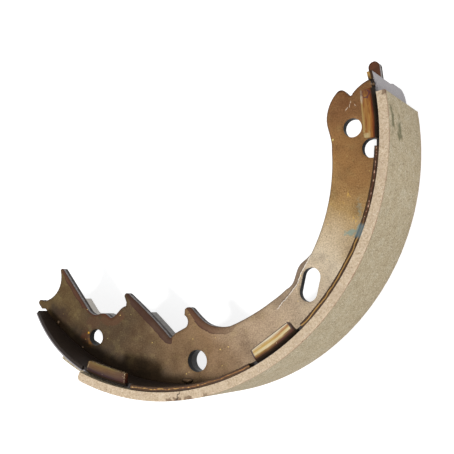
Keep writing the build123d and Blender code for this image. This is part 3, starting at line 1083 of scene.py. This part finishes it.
# Weld spots between the web and the rim, and one on the rim's near edge at the shoe's upper end:
# the name, the middle, the size, the stretch and the turn in degrees
SPOTS = [
    ("weld_spot_tail", polar(-141.2, 118.6, 2.4), 1.1, (1.3, 0.9, 0.8), -141),
    ("weld_spot_spring", polar(-130.4, 119.0, 2.4), 0.7, (1.0, 1.2, 0.7), -130),
    ("weld_spot_pivot", PIVOT_SPOT, 1.9, (0.8, 1.8, 0.55), -95.6),
    ("weld_spot_shoe_end", polar(1.7, 120.7, 22.5), 1.0, (0.9, 1.0, 1.1), 3),
]


def make_spot(name, place, size, stretch, turn):
    """Small uneven lump of weld metal around a place."""
    bm = bmesh.new()
    bmesh.ops.create_icosphere(bm, subdivisions=3, radius=size)
    spin = Matrix.Rotation(math.radians(turn), 3, "Z")
    for v in bm.verts:
        lump = 1 + 0.15 * wobble(*(v.co * 0.8 + Vector(place)))
        v.co = spin @ Vector([c * s * lump for c, s in zip(v.co, stretch)])
        v.co = (v.co + Vector(place)) * MM
    for f in bm.faces:
        f.smooth = True
    me = bpy.data.meshes.new(name)
    bm.to_mesh(me)
    bm.free()
    return new_object(name, me)


web_plate = make_web()
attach(web_plate, "root")
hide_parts("web")
web_plate.data.materials.append(web_steel())

lining_pad = make_lining()
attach(lining_pad, "root")
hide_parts("lining")
lining_pad.data.materials.append(friction_lining())

weld = weld_metal()
for spot_name, place, size, stretch, turn in SPOTS:
    spot = make_spot(spot_name, place, size, stretch, turn)
    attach(spot, "root")
    spot.data.materials.append(weld)

for node, material in (("web_doubler", doubler_steel()), ("rim", rim_steel())):
    nodes[node].data.materials.clear()
    nodes[node].data.materials.append(material)


# Camera at the photo's viewing angle. Its turn is an axis whose length is the angle in radians, and takes the
# row frame to the camera's right, down and forward directions.

PHOTO_PIXELS = 454
FOCAL_PIXELS = 880.607
SENSOR = 36.0
CAMERA_TURN = Vector((2.910726, -0.270390, -0.725284))
CAMERA_PLACE = Vector((0.232436, -0.119568, 0.405249))


def make_camera():
    camera = new_object("camera", bpy.data.cameras.new("camera"))
    right, down, forward = Matrix.Rotation(CAMERA_TURN.length, 3, CAMERA_TURN.normalized())
    axes = Matrix((right, -down, -forward)).transposed()
    camera.matrix_world = Matrix.Translation(CAMERA_PLACE) @ axes.to_4x4()
    camera.data.sensor_width = SENSOR
    camera.data.lens = FOCAL_PIXELS / PHOTO_PIXELS * SENSOR
    camera.data.clip_start = 0.01
    camera.data.clip_end = 20
    bpy.context.scene.camera = camera


# Floor, world and lamps

FLOOR_HALF = 3.0
FLOOR_GREY = 0.5
FLOOR_GLOW = 0.8
FLOOR_GAP = 0.0001
LAMP_AIM = Vector((0.02, -0.06, 0))


def seen_directly(tree):
    """1 for camera, glossy and transmission rays, 0 for the rays that carry light to the part."""
    path = tree.nodes.new("ShaderNodeLightPath")
    seen = path.outputs["Is Camera Ray"]
    for ray in ("Is Glossy Ray", "Is Transmission Ray"):
        most = tree.nodes.new("ShaderNodeMath")
        most.operation = "MAXIMUM"
        tree.links.new(seen, most.inputs[0])
        tree.links.new(path.outputs[ray], most.inputs[1])
        seen = most.outputs[0]
    return seen


def floor_material():
    """Grey that takes the shadows, with a glow that only the rays seen directly meet."""
    material = bpy.data.materials.new("floor")
    material.use_nodes = True
    t = material.node_tree
    t.nodes.clear()
    out = t.nodes.new("ShaderNodeOutputMaterial")
    diffuse = t.nodes.new("ShaderNodeBsdfDiffuse")
    diffuse.inputs["Color"].default_value = (FLOOR_GREY, FLOOR_GREY, FLOOR_GREY, 1)
    strength = t.nodes.new("ShaderNodeMath")
    strength.operation = "MULTIPLY"
    strength.inputs[1].default_value = FLOOR_GLOW
    t.links.new(seen_directly(t), strength.inputs[0])
    glow = t.nodes.new("ShaderNodeEmission")
    t.links.new(strength.outputs[0], glow.inputs["Strength"])
    add = t.nodes.new("ShaderNodeAddShader")
    t.links.new(diffuse.outputs[0], add.inputs[0])
    t.links.new(glow.outputs[0], add.inputs[1])
    t.links.new(add.outputs[0], out.inputs[0])
    return material


def make_floor():
    me = bpy.data.meshes.new("floor")
    h = FLOOR_HALF
    z = cad_box[0].z - FLOOR_GAP
    me.from_pydata([(-h, -h, z), (h, -h, z), (h, h, z), (-h, h, z)], [], [(0, 1, 2, 3)])
    me.materials.append(floor_material())
    new_object("floor", me)


def make_world():
    """Soft cool light, and plain white where the world itself is seen."""
    world = bpy.data.worlds.new("world")
    bpy.context.scene.world = world
    world.use_nodes = True
    t = world.node_tree
    t.nodes.clear()
    out = t.nodes.new("ShaderNodeOutputWorld")
    light = t.nodes.new("ShaderNodeBackground")
    light.inputs["Color"].default_value = (0.95, 0.97, 1.0, 1)
    light.inputs["Strength"].default_value = 0.42
    white = t.nodes.new("ShaderNodeBackground")
    white.inputs["Color"].default_value = (1, 1, 1, 1)
    mix = t.nodes.new("ShaderNodeMixShader")
    t.links.new(seen_directly(t), mix.inputs[0])
    t.links.new(light.outputs[0], mix.inputs[1])
    t.links.new(white.outputs[0], mix.inputs[2])
    t.links.new(mix.outputs[0], out.inputs[0])


def lamp(name, place, size, watts):
    """Square area lamp that points at the shoe."""
    data = bpy.data.lights.new(name, "AREA")
    data.shape = "SQUARE"
    data.size = size
    data.energy = watts
    o = new_object(name, data)
    o.location = place
    o.rotation_mode = "QUATERNION"
    o.rotation_quaternion = (LAMP_AIM - Vector(place)).to_track_quat("-Z", "Y")


make_camera()
make_floor()
make_world()
lamp("key", place=(-0.36, -0.20, 0.82), size=0.16, watts=4.8)
lamp("fill", place=(0.9, -0.7, 0.35), size=0.8, watts=8.5)
bpy.context.scene.view_settings.view_transform = "Standard"
